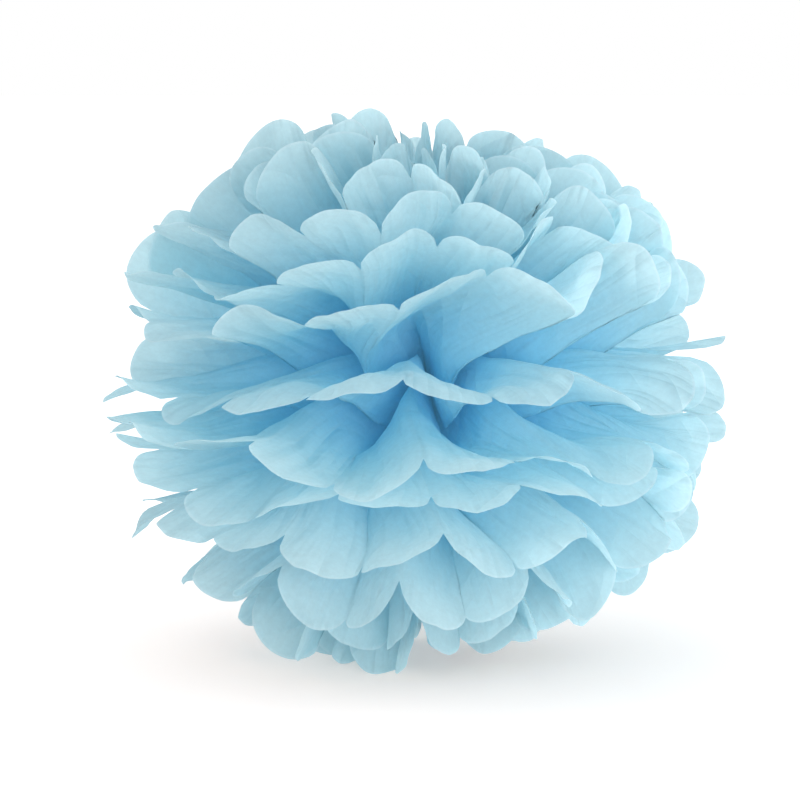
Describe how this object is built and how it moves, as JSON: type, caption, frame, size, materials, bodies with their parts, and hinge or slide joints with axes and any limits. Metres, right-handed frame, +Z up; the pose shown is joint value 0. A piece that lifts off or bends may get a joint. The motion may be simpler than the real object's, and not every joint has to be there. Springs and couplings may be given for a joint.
{
  "type": "tissue paper pom pom",
  "caption": "Round decoration of pleated tissue paper sheets with scalloped rims, tied at the middle with a soft wire and opened into a ball.",
  "frame": {"origin": "under the middle of the ball, on the surface that it rests on", "axes": "+Z up, +X to the viewer's right across the pleats, +Y away from the viewer along the folded strip"},
  "size_m": [0.2514, 0.2404, 0.2228],
  "materials": {
    "tissue": "matt light blue tissue",
    "wire": "soft galvanised wire"
  },
  "bodies": {
    "root": {"tissue_sheet_01": "tissue", "tissue_sheet_02": "tissue", "tissue_sheet_03": "tissue", "tissue_sheet_04": "tissue", "tissue_sheet_05": "tissue", "tissue_sheet_06": "tissue", "tissue_sheet_07": "tissue", "tissue_sheet_08": "tissue", "tissue_sheet_09": "tissue", "tissue_sheet_10": "tissue", "tissue_sheet_11": "tissue", "tissue_sheet_12": "tissue", "tie_wire": "wire"}
  },
  "joints": []
}
